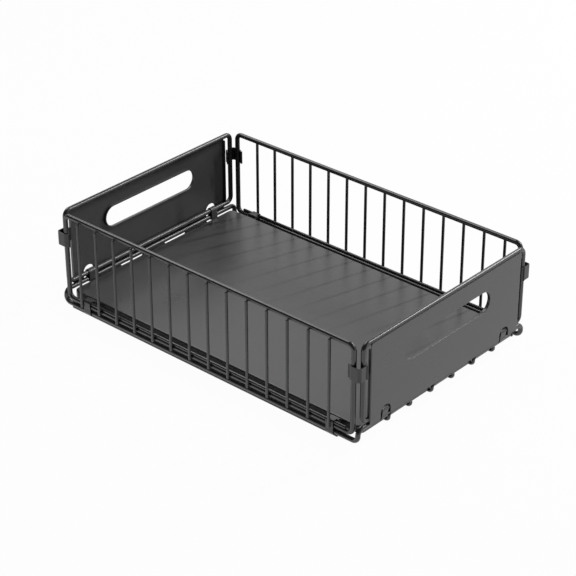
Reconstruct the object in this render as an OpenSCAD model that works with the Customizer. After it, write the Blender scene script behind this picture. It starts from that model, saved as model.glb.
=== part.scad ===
// Pull-out wire basket with two folding wire grilles, two folding sheet ends
// and a sheet floor on wire supports. Millimetres, +Z up, front is -Y, right is +X.
// Origin: middle of the footprint on the surface the two runner wires stand on.

/* [Overall] */
// Half distance between the two end loop planes
end_half_x = 192.2; // [150:0.1:300]
// Half distance between the two grille planes
grille_half_y = 124.5; // [100:0.5:200]
// Height of the top rails of all four walls
top_z = 104.85; // [70:0.05:250]

/* [Wire] */
// Diameter of the wall loops
rail_d = 5; // [4:0.1:8]
// Diameter of the upright and cross wires, runners and floor loops
thin_d = 3; // [2:0.1:4]
// Diameter of the base frame wire
base_d = 4; // [3:0.1:6]
// Bend radius of the wall loops at the wire centre
loop_bend = 8; // [5:0.5:20]
// Spacing of the upright wires
upright_pitch = 25; // [15:0.5:40]
// How far the row of upright wires is shifted towards the left leg, seen from outside
upright_shift = 1.9; // [0:0.1:6]
// How far the upright wires reach above the middle of the top rail
upright_over = 0.8; // [0:0.1:2.5]

/* [Walls] */
// Clear space between an end leg and the plane that a grille folds in
wall_gap = 0.3; // [0.2:0.05:2]
// How far the end loops stand outside the grille legs
corner_step = 6.4; // [5.5:0.1:15]
// Height of a grille's bottom rail above the long base wires
grille_lift = 7.1; // [5:0.05:12]
// Height of an end loop's bottom rail above the raised base wires
end_lift = 6.45; // [5.5:0.05:12]

/* [Base] */
// How far the end wires of the base frame are raised
end_step = 13.4; // [12.2:0.1:30]
// Bend radius of the base frame corners
base_bend = 6; // [3:0.5:6]
// How far the long base wires stand inside the grille planes
base_set_y = 0.2; // [0:0.05:2]
// How far the raised base wires stand inside the end loop planes
base_set_x = 0.5; // [0:0.05:2]
// How far the runner wires stand inside the long base wires
runner_set = 0.6; // [0:0.05:1.5]
// Distance of a runner's left end from the end loop plane, seen from outside
runner_left = 10.2; // [5:0.1:60]
// Distance of a runner's right end from the end loop plane
runner_right = 25.5; // [5:0.1:60]
// Height of the floor loop wires above the long base wires
support_lift = 2; // [0:0.05:4]
// Clear distance from the end hinges to the outermost floor loop wire
support_inset = 10; // [6.5:0.5:30]
// Bend radius of the floor loops
support_bend = 4; // [2:0.1:4]

/* [Floor plate] */
// Height of the bent-down lips
floor_lip = 7.85; // [4:0.05:20]
// Sheet thickness of the floor plate and end panels
sheet = 1; // [0.6:0.1:2]
// Corner radius in plan
floor_corner = 6; // [2:0.5:20]
// Distance from the plate's end edge to the raised base wire's middle
floor_end_gap = 7; // [4:0.1:20]
// Distance from the plate's long edge to the grille plane
floor_side_gap = 7.6; // [7:0.1:20]

/* [End panels] */
// Distance from an end leg's middle to the panel's side edge
panel_side_gap = 4.2; // [3.5:0.1:20]
// How far the panel's lower edge stands above the middle of the raised base wire
panel_low = 0.25; // [0:0.05:3]
// Corner radius of the panel
panel_corner = 5; // [2:0.5:15]
// Depth of the bent side edges
panel_edge = 2.4; // [1:0.1:4]
// Length of the hand slot
slot_len = 128; // [80:1:160]
// Height of the hand slot
slot_h = 22.5; // [15:0.5:40]
// Distance from the top rail's middle down to the middle of the hand slot
slot_drop = 31.15; // [20:0.05:60]
// Depth of the collar round the hand slot
collar = 2.2; // [1:0.1:5]
// Clear space beside an end hinge strap in its notch
notch_gap = 2.25; // [0.5:0.05:5]
// Height of the top of a notch above the middle of the bottom rail
notch_rise = 4.7; // [4:0.1:12]

/* [Hinges] */
// Distance of a grille's left strap from its first upright wire
hinge_inset = 6.2; // [6.1:0.1:12]
// Distance of the end hinges from the grille planes
end_hinge_inset = 34.5; // [20:0.5:60]
// Width of a grille strap
strap_w = 9; // [5:0.5:14]
// Width of an end hinge strap
end_strap_w = 8.5; // [5:0.5:14]
// Thickness of the strap sheet
strap_t = 0.9; // [0.6:0.1:1.5]
// Diameter of the hinge pins
pin_d = 2.4; // [1.6:0.1:3]
// Height of a folded grille above the floor plate
fold_gap = 0.35; // [0.3:0.05:2]

/* [Corner clips] */
// Distance from the top rail's middle down to the middle of a clip
clip_drop = 26.85; // [15:0.05:60]
// Height of a clip
clip_h = 14.5; // [8:0.5:30]
// Wall thickness of a clip
clip_t = 1.1; // [0.8:0.1:2]

/* [Hidden] */
$fn = 64;

rail_r = rail_d / 2;
thin_r = thin_d / 2;
base_r = base_d / 2;
pin_r = pin_d / 2;
join = 0.02;
run_fit = 0.06;
ease = 0.1;

// whole hundredths of a millimetre, so that wires and their bends meet exactly
function grid(length) = round(length * 100) / 100;

// base: the long wires rest on the runners
base_half_x = grid(end_half_x - base_set_x);
base_half_y = grid(grille_half_y - base_set_y);
corner_bend = grid(base_bend);
base_low_z = grid(thin_r + sqrt(pow(base_r + thin_r, 2) - pow(runner_set, 2)));
base_high_z = base_low_z + grid(end_step);
// floor loops: their ends are welded under the raised base wires
support_z = base_low_z + grid(support_lift);
support_rise = base_high_z - grid(base_r + thin_r);
loop_turn = grid(support_bend);
link_bend = grid(support_bend - 0.4);
// floor plate: its lips stand on the floor loops
floor_low_z = support_z + thin_r;
floor_top_z = floor_low_z + floor_lip;
floor_half_x = base_half_x - floor_end_gap;
floor_half_y = grille_half_y - floor_side_gap;

// walls
grille_leg_x = grid(end_half_x - corner_step);
end_leg_y = grid(grille_half_y - rail_d - wall_gap);
grille_rail_z = base_low_z + grid(grille_lift);
end_rail_z = base_high_z + grid(end_lift);
wall_bend = grid(loop_bend);
wall_top_z = grid(top_z);
// upright wires touch the outer side of the rails
upright_count = floor(2 * grille_leg_x / upright_pitch);
upright_y = grille_half_y + rail_r + thin_r;
upright_first = -upright_pitch * (upright_count - 1) / 2 - upright_shift;
upright_last = upright_first + upright_pitch * (upright_count - 1);
upright_low_z = grille_rail_z - rail_r;
upright_high_z = top_z + upright_over;
// cross wire lies on the bottom rail and touches the uprights
cross_out = rail_r - thin_r;
cross_up = sqrt(pow(rail_r + thin_r, 2) - pow(cross_out, 2));
cross_left = upright_first - 0.6;
cross_right = grille_leg_x - loop_bend - 0.8;

// end panels lie on the outer side of the end loops
panel_in_x = end_half_x + rail_r;
panel_half_y = end_leg_y - panel_side_gap;
panel_low_z = base_high_z + panel_low;
panel_top_z = top_z - ease;
notch_w = end_strap_w + 2 * notch_gap;
notch_top_z = end_rail_z + notch_rise;
slot_z = top_z - slot_drop;

// hinge pin of a grille: a quarter turn lands the loop just above the floor plate
hinge_left_x = -(upright_first + hinge_inset);
hinge_right_x = upright_last;
hinge_y = grille_half_y - end_hinge_inset;
support_y = hinge_y - support_inset;
support_pitch = grid(support_y / 2.5);
fold_z = floor_top_z + rail_r + fold_gap;
pin_in = (fold_z - grille_rail_z) / 2;
pin_y = grille_half_y - pin_in;
pin_z = grille_rail_z + pin_in;
knuckle_r = pin_r + 1.1;
ear_gap = 0.3;
ear_t = 1.2;
bracket_t = 0.7;
strap_out = grille_half_y + rail_r + ease;
strap_top = grille_rail_z + cross_up + thin_r + 0.08 + strap_t;
strap_bottom = base_low_z - base_r - 0.15 - strap_t;
strap_foot_y = base_half_y + 0.8 * base_r;
strap_bend = 1.5;

clip_z = top_z - clip_drop;
// angles in plan: where a clip's hooks begin and end on the two legs
clip_wrap = 128;
clip_hook = 102;
clip_web = 49;
charcoal = [0.2, 0.205, 0.215];
charcoal_light = [0.3, 0.305, 0.315];
clip_grey = [0.14, 0.145, 0.155];

// ---------- helpers ----------
// straight round bar along X
module bar_x(x0, x1, r) {
  translate([x0, 0, 0])
    rotate([0, 90, 0])
      cylinder(r = r, h = x1 - x0);
}

// straight round bar along Y
module bar_y(y0, y1, r) {
  translate([0, y0, 0])
    rotate([-90, 0, 0])
      cylinder(r = r, h = y1 - y0);
}

// quarter or part bend in the XY plane about the origin
module bend_xy(radius, r, a0, a1) {
  rotate([0, 0, a0])
    rotate_extrude(angle = a1 - a0)
      translate([radius, 0])
        circle(r = r);
}

// rounded rectangular loop of round wire in the XY plane
module wire_loop(half_x, y0, y1, radius, r) {
  translate([-half_x + radius, 0, 0]) {
    translate([0, y0, 0])
      bar_x(0, 2 * (half_x - radius), r);
    translate([0, y1, 0])
      bar_x(0, 2 * (half_x - radius), r);
  }
  for (s = [-1, 1])
    translate([s * half_x, 0, 0])
      bar_y(y0 + radius, y1 - radius, r);
  translate([half_x - radius, y0 + radius, 0])
    bend_xy(radius, r, -90, 0);
  translate([half_x - radius, y1 - radius, 0])
    bend_xy(radius, r, 0, 90);
  translate([-half_x + radius, y1 - radius, 0])
    bend_xy(radius, r, 90, 180);
  translate([-half_x + radius, y0 + radius, 0])
    bend_xy(radius, r, 180, 270);
}

// turns a front part into the matching back part
module to_back() {
  rotate([0, 0, 180])
    children();
}

// ---------- base ----------
// one corner: the long wire bends up, rises, and bends over into the end wire
module base_corner(sx, sy) {
  translate([sx * (base_half_x - corner_bend), sy * base_half_y, base_low_z + corner_bend])
    rotate([90, 0, 0])
      bend_xy(corner_bend, base_r, sx > 0 ? -90 : 180, sx > 0 ? 0 : 270);
  translate([sx * base_half_x, sy * base_half_y, base_low_z + corner_bend])
    cylinder(r = base_r, h = base_high_z - base_low_z - 2 * corner_bend);
  translate([sx * base_half_x, sy * (base_half_y - corner_bend), base_high_z - corner_bend])
    rotate([90, 0, 90])
      bend_xy(corner_bend, base_r, sy > 0 ? 0 : 90, sy > 0 ? 90 : 180);
}

module base_frame() {
  color(charcoal) {
    for (s = [-1, 1])
      translate([0, s * base_half_y, base_low_z])
        bar_x(-base_half_x + corner_bend, base_half_x - corner_bend, base_r);
    for (s = [-1, 1])
      translate([s * base_half_x, 0, base_high_z])
        bar_y(-base_half_y + corner_bend, base_half_y - corner_bend, base_r);
    for (sx = [-1, 1])
      for (sy = [-1, 1])
        base_corner(sx, sy);
  }
}

// one end of a floor loop: bends up and links the two wires below the raised end wire
module floor_loop_end(y0, y1) {
  for (y = [y0, y1]) {
    translate([base_half_x - loop_turn, y, support_z + loop_turn])
      rotate([90, 0, 0])
        bend_xy(loop_turn, thin_r, -90, 0);
    translate([base_half_x, y, support_z + loop_turn])
      cylinder(r = thin_r, h = support_rise - link_bend - support_z - loop_turn);
  }
  translate([base_half_x, y0 + link_bend, support_rise - link_bend])
    rotate([90, 0, 90])
      bend_xy(link_bend, thin_r, 90, 180);
  translate([base_half_x, y1 - link_bend, support_rise - link_bend])
    rotate([90, 0, 90])
      bend_xy(link_bend, thin_r, 0, 90);
  translate([base_half_x, 0, support_rise])
    bar_y(y0 + link_bend, y1 - link_bend, thin_r);
}

module floor_loop(y0, y1) {
  color(charcoal) {
    for (y = [y0, y1])
      translate([0, y, support_z])
        bar_x(-base_half_x + loop_turn, base_half_x - loop_turn, thin_r);
    floor_loop_end(y0, y1);
    to_back()
      floor_loop_end(-y1, -y0);
  }
}

module floor_loop_front() {
  floor_loop(-2.5 * support_pitch, -1.5 * support_pitch);
}

module floor_loop_middle() {
  floor_loop(-0.5 * support_pitch, 0.5 * support_pitch);
}

module floor_loop_back() {
  floor_loop(1.5 * support_pitch, 2.5 * support_pitch);
}

// straight runner wire the basket stands and slides on
module runner_front() {
  color(charcoal)
    translate([0, -base_half_y + runner_set, thin_r])
      bar_x(-end_half_x + runner_left, end_half_x - runner_right, thin_r);
}

module runner_back() {
  to_back()
    runner_front();
}

module rounded_rect(half_x, half_y, r) {
  square([2 * half_x, 2 * (half_y - r)], center = true);
  square([2 * (half_x - r), 2 * half_y], center = true);
  for (sx = [-1, 1])
    for (sy = [-1, 1])
      translate([sx * (half_x - r), sy * (half_y - r)])
        circle(r = r);
}

// sheet floor with lips bent down onto the floor loops
module floor_plate() {
  color(charcoal_light)
    difference() {
      translate([0, 0, floor_low_z])
        linear_extrude(floor_top_z - floor_low_z)
          rounded_rect(floor_half_x, floor_half_y, floor_corner);
      translate([0, 0, floor_low_z - 1])
        linear_extrude(floor_top_z - floor_low_z - sheet + 1)
          rounded_rect(floor_half_x - sheet, floor_half_y - sheet, floor_corner - sheet);
    }
}

// ---------- grilles ----------
module front_grille_loop() {
  color(charcoal)
    translate([0, -grille_half_y, 0])
      rotate([90, 0, 0])
        wire_loop(grille_leg_x, grille_rail_z, wall_top_z, wall_bend, rail_r);
}

module front_grille_uprights() {
  color(charcoal)
    for (i = [0 : upright_count - 1])
      translate([upright_first + i * upright_pitch, -upright_y, upright_low_z])
        cylinder(r = thin_r, h = upright_high_z - upright_low_z);
}

module front_grille_cross_wire() {
  color(charcoal)
    translate([0, -grille_half_y - cross_out, grille_rail_z + cross_up])
      bar_x(cross_left, cross_right, thin_r);
}

module back_grille_loop() {
  to_back()
    front_grille_loop();
}

module back_grille_uprights() {
  to_back()
    front_grille_uprights();
}

module back_grille_cross_wire() {
  to_back()
    front_grille_cross_wire();
}

// ---------- ends ----------
module right_end_loop() {
  color(charcoal)
    translate([end_half_x, 0, 0])
      rotate([90, 0, 90])
        wire_loop(end_leg_y, end_rail_z, wall_top_z, wall_bend, rail_r);
}

module slot_shape(grow) {
  half = slot_len / 2 - slot_h / 2;
  square([2 * half, slot_h + 2 * grow], center = true);
  for (s = [-1, 1])
    translate([s * half, 0])
      circle(r = slot_h / 2 + grow);
}

// outline of an end panel with its two notches, in width and height
module panel_shape() {
  mid = (panel_low_z + panel_top_z) / 2;
  difference() {
    translate([0, mid])
      rounded_rect(panel_half_y, panel_top_z - mid, panel_corner);
    for (s = [-1, 1])
      translate([s * hinge_y, 0]) {
        translate([-notch_w / 2, panel_low_z - 1])
          square([notch_w, notch_top_z - notch_w / 2 - panel_low_z + 1]);
        translate([0, notch_top_z - notch_w / 2])
          circle(r = notch_w / 2);
      }
  }
}

module right_end_panel() {
  edge_low = end_rail_z + loop_bend;
  edge_high = top_z - loop_bend;
  clip_room = clip_h / 2 + 3;
  color(charcoal_light)
    difference() {
      union() {
        translate([panel_in_x, 0, 0])
          rotate([90, 0, 90])
            linear_extrude(sheet)
              panel_shape();
        // bent side edges, below and above the clip
        for (s = [-1, 1])
          for (z = [[edge_low, clip_z - clip_room], [clip_z + clip_room, edge_high]])
            translate([panel_in_x - panel_edge, s * panel_half_y - (s + 1) / 2 * sheet, z[0]])
              cube([panel_edge + join, sheet, z[1] - z[0]]);
        // collar round the hand slot
        translate([panel_in_x - collar, 0, slot_z])
          rotate([90, 0, 90])
            linear_extrude(collar + join)
              slot_shape(sheet);
      }
      translate([panel_in_x - collar - 1, 0, slot_z])
        rotate([90, 0, 90])
          linear_extrude(collar + sheet + 2)
            slot_shape(0);
    }
}

module left_end_loop() {
  to_back()
    right_end_loop();
}

module left_end_panel() {
  to_back()
    right_end_panel();
}

// ---------- hinges of the grilles ----------
// sweeps a profile in distance from the middle and height along X
module along_x(x0, x1) {
  translate([x1, 0, 0])
    rotate([90, 0, -90])
      linear_extrude(x1 - x0)
        children();
}

// bent sheet that hangs over the grille rail and the cross wire and reaches below the base wire
module strap_sheet() {
  bend = strap_bend;
  out = strap_out + strap_t;
  difference() {
    union() {
      translate([pin_y, strap_bottom])
        square([out - bend - pin_y, strap_top - strap_bottom]);
      translate([pin_y, strap_bottom + bend])
        square([out - pin_y, strap_top - strap_bottom - 2 * bend]);
      for (z = [strap_top - bend, strap_bottom + bend])
        translate([out - bend, z])
          circle(r = bend);
    }
    translate([pin_y - 1, strap_bottom + strap_t])
      square([strap_out - pin_y + 1, strap_top - strap_bottom - 2 * strap_t]);
    translate([pin_y - 1, strap_bottom - 1])
      square([strap_foot_y - pin_y + 1, strap_t + 2]);
  }
}

// strap that clasps the bottom rail of the front grille and turns on the pin
module front_strap(x) {
  x0 = x - strap_w / 2;
  x1 = x + strap_w / 2;
  color(charcoal_light)
    difference() {
      union() {
        along_x(x0, x1)
          strap_sheet();
        along_x(x0, x1)
          translate([pin_y, pin_z])
            circle(r = knuckle_r);
        along_x(x0, x1)
          polygon([[pin_y - 1.5, pin_z + 1.2], [pin_y - 0.2, strap_top], [pin_y + 1.2, strap_top],
            [pin_y + 1.9, pin_z + 0.8]]);
      }
      translate([0, -pin_y, pin_z])
        bar_x(x - strap_w, x + strap_w, pin_r + run_fit);
      // room for an upright wire that passes the strap
      for (i = [0 : upright_count - 1])
        if (abs(upright_first + i * upright_pitch - x) < strap_w / 2)
          translate([upright_first + i * upright_pitch, -upright_y, upright_low_z - ease])
            cylinder(r = thin_r + ease, h = strap_top - upright_low_z + 1);
    }
}

module front_strap_left() {
  front_strap(-hinge_left_x);
}

module front_strap_right() {
  front_strap(hinge_right_x);
}

module back_strap_left() {
  to_back()
    front_strap(hinge_right_x);
}

module back_strap_right() {
  to_back()
    front_strap(-hinge_left_x);
}

module front_hinge_pins() {
  half = strap_w / 2 + ear_gap + ear_t + 0.4;
  color(clip_grey)
    for (x = [-hinge_left_x, hinge_right_x])
      translate([x, -pin_y, pin_z])
        bar_x(-half, half, pin_r);
}

module back_hinge_pins() {
  to_back()
    front_hinge_pins();
}

// bracket on the lip of the floor plate, with an ear on each side of the strap
module front_bracket(x) {
  half = strap_w / 2 + ear_gap;
  ear_low = pin_z - 5.2;
  ear_high = pin_z - ease;
  back_y = floor_half_y + bracket_t;
  color(charcoal_light) {
    translate([x - half - ear_t, -back_y, ear_low])
      cube([2 * (half + ear_t), bracket_t, ear_high - ear_low]);
    for (s = [-1, 1])
      translate([x + s * (half + ear_t / 2) + ear_t / 2, 0, 0])
        rotate([90, 0, -90])
          linear_extrude(ear_t)
            difference() {
              union() {
                translate([pin_y, pin_z])
                  circle(r = pin_r + 1);
                polygon([[back_y - 0.3, ear_low], [pin_y - 0.5, ear_low + 2.2],
                  [pin_y + 0.8, pin_z - 2], [pin_y - 0.4, pin_z + 2.1], [back_y - 0.3, ear_high]]);
              }
              translate([pin_y, pin_z])
                circle(r = pin_r);
            }
  }
}

module front_bracket_left() {
  front_bracket(-hinge_left_x);
}

module front_bracket_right() {
  front_bracket(hinge_right_x);
}

module back_bracket_left() {
  to_back()
    front_bracket(hinge_right_x);
}

module back_bracket_right() {
  to_back()
    front_bracket(-hinge_left_x);
}

// ---------- hinges of the ends ----------
// strap round the end loop rail and the raised base wire, with a tab under the floor plate edge
module right_end_strap(y) {
  rail_in = rail_r + run_fit;
  color(charcoal_light)
    translate([0, y + end_strap_w / 2, 0])
      rotate([90, 0, 0])
        linear_extrude(end_strap_w)
          difference() {
            union() {
              translate([end_half_x, end_rail_z])
                circle(r = rail_in + strap_t);
              translate([base_half_x, base_high_z])
                circle(r = base_r + strap_t);
              translate([base_half_x - base_r - strap_t, base_high_z])
                square([2 * (base_r + strap_t), end_rail_z - base_high_z]);
              translate([floor_half_x, floor_top_z - ease - strap_t])
                square([base_half_x - floor_half_x, strap_t]);
            }
            translate([end_half_x, end_rail_z])
              circle(r = rail_in);
            translate([base_half_x, base_high_z])
              circle(r = base_r);
          }
}

module right_end_strap_front() {
  right_end_strap(-hinge_y);
}

module right_end_strap_back() {
  right_end_strap(hinge_y);
}

module left_end_strap_front() {
  to_back()
    right_end_strap(hinge_y);
}

module left_end_strap_back() {
  to_back()
    right_end_strap(-hinge_y);
}

// ---------- corner clips ----------
// part of a ring in plan, from angle a0 to a1
module ring_part(r0, r1, a0, a1) {
  intersection() {
    difference() {
      circle(r = r1);
      circle(r = r0);
    }
    polygon([[0, 0], for (i = [0 : 6]) 2 * r1 * [cos(a0 + (a1 - a0) * i / 6), sin(a0 + (a1 - a0) * i / 6)]]);
  }
}

// clip for the front right corner in plan: grips the end leg, reaches round the grille leg
module clip_shape() {
  end_in = rail_r + run_fit;
  grille_in = rail_r + 0.3;
  dx = end_half_x - grille_leg_x;
  dy = grille_half_y - end_leg_y;
  dist = sqrt(dx * dx + dy * dy);
  slant = atan2(dy, dx);
  translate([end_half_x, -end_leg_y]) {
    ring_part(end_in, end_in + clip_t, slant - clip_wrap, clip_hook);
    // finger tab
    rotate([0, 0, 20])
      translate([end_in + 0.3, -0.5])
        square([1.9, 1]);
  }
  translate([grille_leg_x, -grille_half_y]) {
    ring_part(grille_in, grille_in + clip_t, 180, slant + 360 - clip_web);
    // flared lip
    rotate([0, 0, 174])
      translate([grille_in + 0.2, -0.6])
        square([2.3, 1]);
    // web between the two hooks
    rotate([0, 0, slant])
      translate([1.85, -3.15])
        square([dist - 3.5, 1.05]);
  }
}

module clip(z_mid) {
  color(clip_grey)
    translate([0, 0, z_mid - clip_h / 2])
      linear_extrude(clip_h)
        clip_shape();
}

module clip_front_right() {
  clip(clip_z);
}

module clip_front_left() {
  mirror([1, 0, 0])
    clip(clip_z);
}

module clip_back_right() {
  mirror([0, 1, 0])
    clip(clip_z);
}

module clip_back_left() {
  to_back()
    clip(clip_z);
}

base_frame();
floor_loop_front();
floor_loop_middle();
floor_loop_back();
runner_front();
runner_back();
floor_plate();
front_grille_loop();
front_grille_uprights();
front_grille_cross_wire();
back_grille_loop();
back_grille_uprights();
back_grille_cross_wire();
left_end_loop();
left_end_panel();
right_end_loop();
right_end_panel();
front_strap_left();
front_strap_right();
back_strap_left();
back_strap_right();
front_hinge_pins();
back_hinge_pins();
front_bracket_left();
front_bracket_right();
back_bracket_left();
back_bracket_right();
left_end_strap_front();
left_end_strap_back();
right_end_strap_front();
right_end_strap_back();
clip_front_left();
clip_front_right();
clip_back_left();
clip_back_right();
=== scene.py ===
"""Looks of a folding pull-out basket of coated wire and sheet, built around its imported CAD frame.

Every length is in metres and every place is in the CAD frame: +X towards the right end panel, +Y towards
the back grille, +Z up, with the runner wires standing on Z = 0.
"""

import logging
import math
from dataclasses import dataclass
from enum import Enum
from typing import Dict, Iterable, List, Optional, Sequence, Tuple, Union

import bmesh
import bpy
from mathutils import Euler, Matrix, Vector


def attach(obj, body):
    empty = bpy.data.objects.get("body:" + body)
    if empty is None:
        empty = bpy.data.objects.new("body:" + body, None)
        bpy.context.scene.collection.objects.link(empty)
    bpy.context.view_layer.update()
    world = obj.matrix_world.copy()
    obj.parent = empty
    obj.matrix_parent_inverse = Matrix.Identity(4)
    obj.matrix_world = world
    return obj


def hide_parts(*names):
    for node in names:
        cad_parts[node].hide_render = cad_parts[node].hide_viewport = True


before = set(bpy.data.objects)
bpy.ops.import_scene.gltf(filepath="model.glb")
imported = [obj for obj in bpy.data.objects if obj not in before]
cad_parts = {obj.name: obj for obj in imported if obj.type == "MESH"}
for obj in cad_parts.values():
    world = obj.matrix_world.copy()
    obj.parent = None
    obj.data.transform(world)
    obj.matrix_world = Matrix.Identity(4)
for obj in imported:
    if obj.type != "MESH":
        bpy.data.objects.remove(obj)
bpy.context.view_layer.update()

log = logging.getLogger("basket")

MM = 0.001
X_AXIS = Vector((1, 0, 0))
Y_AXIS = Vector((0, 1, 0))
Z_AXIS = Vector((0, 0, 1))
Colour = Tuple[float, float, float, float]
Place = Tuple[float, float, float]
Setting = Union[str, bool, int, float]
Mesh = bmesh.types.BMesh
Point = bmesh.types.BMVert
Edge = bmesh.types.BMEdge


def grey(level: float) -> Colour:
    """Returns a linear grey of that level."""
    return (level, level, level, 1.0)


def toned(colour: Colour, share: float, lift: float = 0.0) -> Colour:
    """Returns a colour made paler or darker by a share, then lifted by an even amount."""
    return tuple(level * share + lift for level in colour[:3]) + (1.0,)


# ---------- shader maths ----------
class Term:
    """One node output that shader maths is written with."""

    def __init__(self, shader: "Shader", socket: bpy.types.NodeSocket) -> None:
        """Keeps the output and the tree it belongs to.

        Args:
            shader: the tree that new Math nodes are added to.
            socket: the output that this term stands for.
        """
        self.shader = shader
        self.socket = socket

    def _math(self, operation: str, first: "Operand", second: "Operand") -> "Term":
        """Adds a Math node.

        Args:
            operation: the node's operation.
            first: its first value.
            second: its second value.

        Returns:
            The node's output.
        """
        made = self.shader.node("ShaderNodeMath", {"operation": operation}, {0: first, 1: second})
        return Term(self.shader, made.outputs[0])

    def __add__(self, other: "Operand") -> "Term":
        """Returns self + other."""
        return self._math("ADD", self, other)

    def __radd__(self, other: "Operand") -> "Term":
        """Returns other + self."""
        return self._math("ADD", other, self)

    def __sub__(self, other: "Operand") -> "Term":
        """Returns self - other."""
        return self._math("SUBTRACT", self, other)

    def __rsub__(self, other: "Operand") -> "Term":
        """Returns other - self."""
        return self._math("SUBTRACT", other, self)

    def __mul__(self, other: "Operand") -> "Term":
        """Returns self * other."""
        return self._math("MULTIPLY", self, other)

    def __rmul__(self, other: "Operand") -> "Term":
        """Returns other * self."""
        return self._math("MULTIPLY", other, self)

    def __neg__(self) -> "Term":
        """Returns -self."""
        return self * -1.0


Operand = Union[Term, float, int]


class Shader:
    """Adds nodes to one material's or world's tree."""

    def __init__(self, holder: Union[bpy.types.Material, bpy.types.World]) -> None:
        """Switches nodes on and clears the tree.

        Args:
            holder: the material or world whose tree is filled.
        """
        holder.use_nodes = True
        self.tree = holder.node_tree
        self.tree.nodes.clear()

    def node(
        self,
        kind: str,
        settings: Optional[Dict[str, Setting]] = None,
        inputs: Optional[Dict[Union[str, int], object]] = None,
    ) -> bpy.types.Node:
        """Adds one node.

        Args:
            kind: the node's type name.
            settings: its own settings, set before its sockets.
            inputs: values or links of its sockets, by name or number.

        Returns:
            The new node.
        """
        made = self.tree.nodes.new(kind)
        for key, value in (settings or {}).items():
            setattr(made, key, value)
        for key, value in (inputs or {}).items():
            if isinstance(value, Term):
                self.tree.links.new(value.socket, made.inputs[key])
            else:
                made.inputs[key].default_value = value
        return made

    def out(self, node: bpy.types.Node, name: Union[str, int] = 0) -> Term:
        """Returns a node's output as a term."""
        return Term(self, node.outputs[name])

    def place(self) -> Term:
        """Returns the Object coordinates."""
        return self.out(self.node("ShaderNodeTexCoord"), "Object")

    def apart(self, place: Term) -> Tuple[Term, Term, Term]:
        """Returns a place's X, Y and Z."""
        made = self.node("ShaderNodeSeparateXYZ", None, {"Vector": place})
        return self.out(made, "X"), self.out(made, "Y"), self.out(made, "Z")

    def noise(self, place: Term, scale: float, detail: float = 2.0, roughness: float = 0.5) -> Term:
        """Adds a noise.

        Args:
            place: the coordinates it is read at.
            scale: its scale, in cells a metre.
            detail: its octaves.
            roughness: how strong the finer octaves are.

        Returns:
            The noise, from 0 to 1 and mostly near 0.5.
        """
        inputs = {"Vector": place, "Scale": scale, "Detail": detail, "Roughness": roughness}
        return self.out(self.node("ShaderNodeTexNoise", None, inputs))

    def mix(self, factor: Term, low: Union[Term, Colour], high: Union[Term, Colour]) -> Term:
        """Mixes two colours.

        Args:
            factor: 0 for the low colour, 1 for the high one.
            low: the first colour.
            high: the second colour.

        Returns:
            The mixed colour.
        """
        made = self.node("ShaderNodeMix", {"data_type": "RGBA"}, {0: factor, 6: low, 7: high})
        return self.out(made, 2)

    def clip(self, value: Term, low: float, high: float) -> Term:
        """Stretches a span of a value to 0 to 1 and clips the rest.

        Args:
            value: the value.
            low: what becomes 0.
            high: what becomes 1.

        Returns:
            The stretched value.
        """
        inputs = {"Value": value, "From Min": low, "From Max": high}
        return self.out(self.node("ShaderNodeMapRange", {"clamp": True}, inputs))

    def rays(self) -> Tuple[Term, Term]:
        """Tells how a ray comes to the surface.

        Returns:
            1 for camera rays, and 1 for glossy and transmission rays.
        """
        path = self.node("ShaderNodeLightPath")
        glossy = self.out(path, "Is Glossy Ray") + self.out(path, "Is Transmission Ray")
        return self.out(path, "Is Camera Ray"), glossy

    def bump(self, height: Term, strength: float, distance: float) -> Term:
        """Adds a bump.

        Args:
            height: the height, from 0 to 1.
            strength: how much of it the light sees.
            distance: what a height of 1 stands for, in metres.

        Returns:
            The bent normal.
        """
        inputs = {"Strength": strength, "Distance": distance, "Height": height}
        return self.out(self.node("ShaderNodeBump", None, inputs))

    def surface(self, inputs: Dict[str, object]) -> Term:
        """Returns a Principled surface with these inputs."""
        return self.out(self.node("ShaderNodeBsdfPrincipled", None, inputs))

    def finish(self, surface: Term, kind: str = "ShaderNodeOutputMaterial") -> None:
        """Makes a surface the tree's output, of a material unless another kind is given."""
        self.node(kind, None, {"Surface": surface})


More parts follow.
